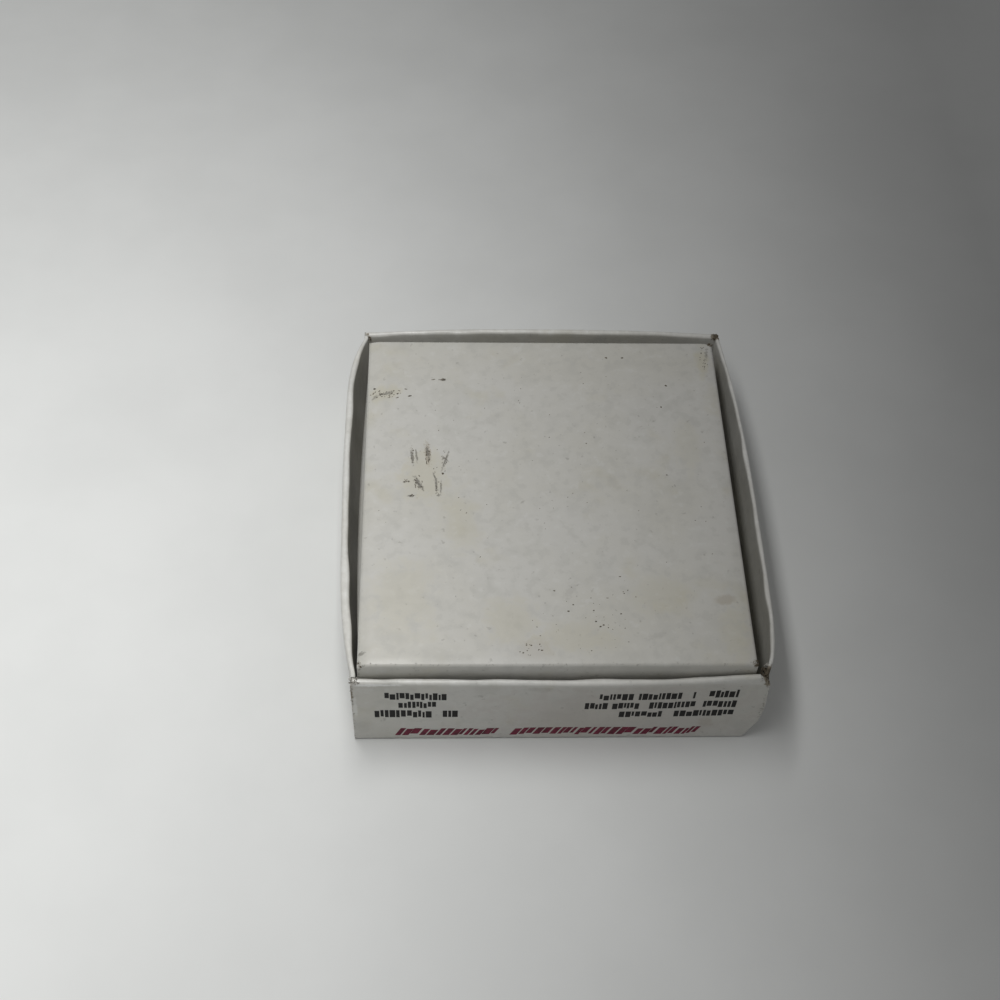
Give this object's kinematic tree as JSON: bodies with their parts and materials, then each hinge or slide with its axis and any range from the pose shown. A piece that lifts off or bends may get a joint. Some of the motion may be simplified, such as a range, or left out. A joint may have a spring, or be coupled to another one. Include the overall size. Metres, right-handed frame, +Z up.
{
  "type": "microscope slide box",
  "caption": "Telescoping folded card box of microscope slides, lying lid down: the tray stands upside down in the lid over upright glass slides with paper between them",
  "frame": {"origin": "centre of the lid's flat underside, on the table", "axes": "+Z up out of the lid's mouth; +X along the slides, to the right of someone facing the printed wall; +Y away from that wall, along the stack"},
  "size_m": [0.0902, 0.0967, 0.0271],
  "materials": {
    "lid_card": "clay-coated white paperboard, semi-gloss, printed on its front wall",
    "tray_card": "clay-coated white paperboard, semi-gloss, soiled",
    "slide_glass": "clear soda-lime glass with ground edges",
    "separator_paper": "thin matt interleaving tissue"
  },
  "bodies": {
    "lid": {"lid": "lid_card", "glass_slides": "slide_glass", "separator_papers": "separator_paper"},
    "tray": {"tray": "tray_card"}
  },
  "joints": [
    {"name": "tray_lift", "type": "slide", "parent": "lid", "child": "tray", "axis": [0, 0, 1], "range_m": [0, 0.032]}
  ]
}
